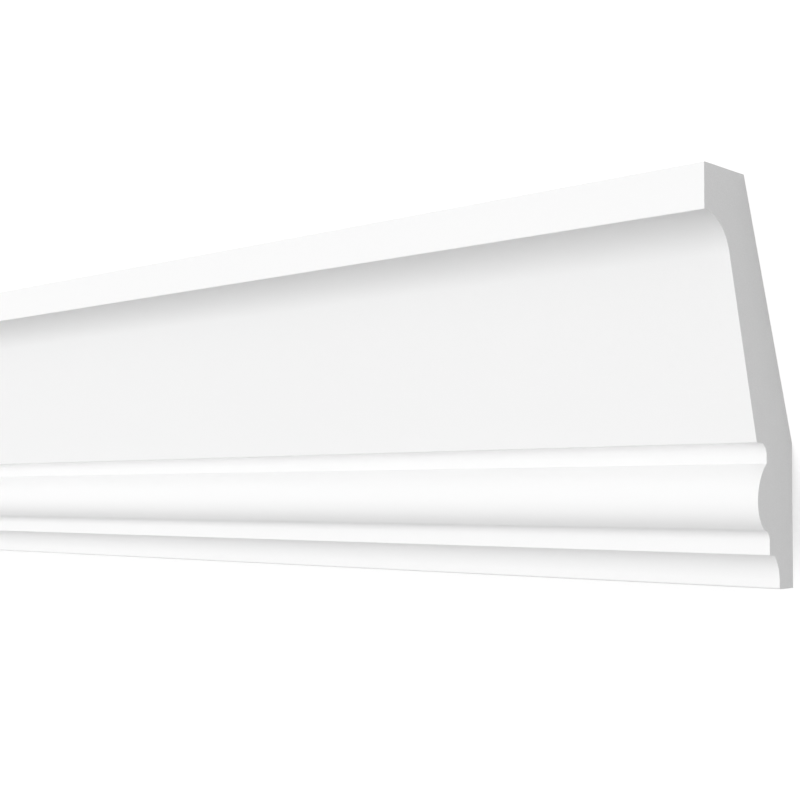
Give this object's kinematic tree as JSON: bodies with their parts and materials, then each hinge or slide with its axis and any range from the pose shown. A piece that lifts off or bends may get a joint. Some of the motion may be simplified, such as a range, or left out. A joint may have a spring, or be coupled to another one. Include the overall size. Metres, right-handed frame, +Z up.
{
  "type": "cornice moulding",
  "caption": "Straight length of plain cornice moulding with a fascia, cove, long slope, quirked ovolo, fillet and cavetto, to cover the corner between wall and ceiling.",
  "frame": {"origin": "on the floor under the middle of its box", "axes": "+X along the length, +Y towards the edge that meets the ceiling, +Z up, out of the moulded face"},
  "size_m": [2, 0.1298, 0.0266],
  "materials": {
    "primed_polymer": "white primer, matt to satin, on dense moulded foam"
  },
  "bodies": {
    "root": {"cornice_moulding": "primed_polymer"}
  },
  "joints": []
}
